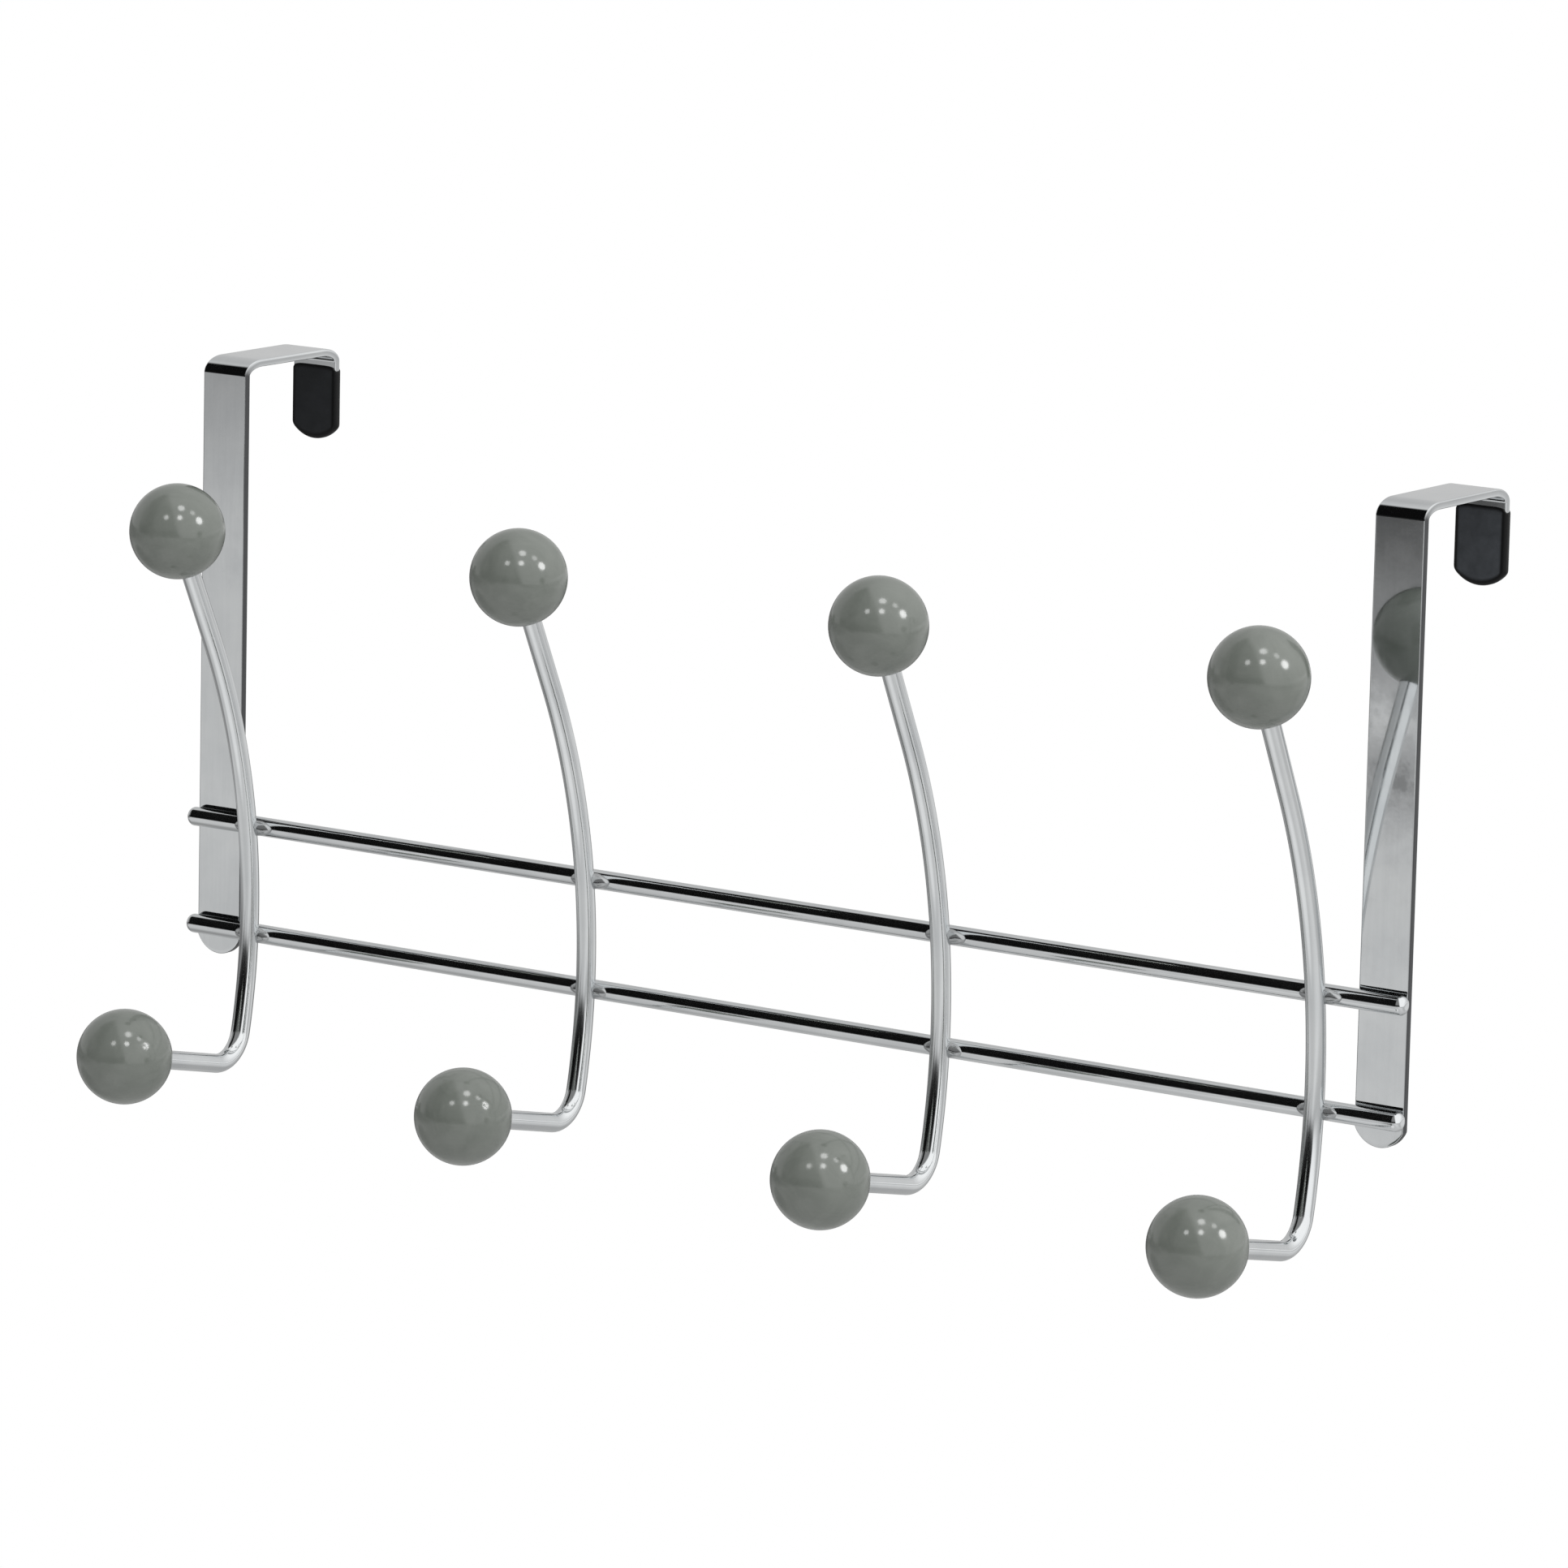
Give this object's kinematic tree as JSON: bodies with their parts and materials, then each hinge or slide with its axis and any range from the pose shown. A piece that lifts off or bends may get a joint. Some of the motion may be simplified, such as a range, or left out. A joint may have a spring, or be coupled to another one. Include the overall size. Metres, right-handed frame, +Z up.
{
  "type": "over door hook",
  "caption": "Chrome wire rack that hangs over the top of a door on flat straps and carries double hooks tipped with glossy grey balls.",
  "frame": {"origin": "on the door's top front edge, midway between the straps: underside of the bridges and back of the front legs", "axes": "+X along the rails, +Y back into the door, +Z up"},
  "size_m": [0.376, 0.1119, 0.1887],
  "materials": {
    "chrome": "bright nickel-chrome plate on mild steel",
    "ball_gloss": "glossy mid grey",
    "tab_coat": "satin black soft dip"
  },
  "bodies": {
    "root": {"left_strap": "chrome", "right_strap": "chrome", "left_tab_coat": "tab_coat", "right_tab_coat": "tab_coat", "upper_rail": "chrome", "lower_rail": "chrome", "hook_wire_1": "chrome", "hook_wire_2": "chrome", "hook_wire_3": "chrome", "hook_wire_4": "chrome", "upper_ball_1": "ball_gloss", "upper_ball_2": "ball_gloss", "upper_ball_3": "ball_gloss", "upper_ball_4": "ball_gloss", "lower_ball_1": "ball_gloss", "lower_ball_2": "ball_gloss", "lower_ball_3": "ball_gloss", "lower_ball_4": "ball_gloss"}
  },
  "joints": []
}
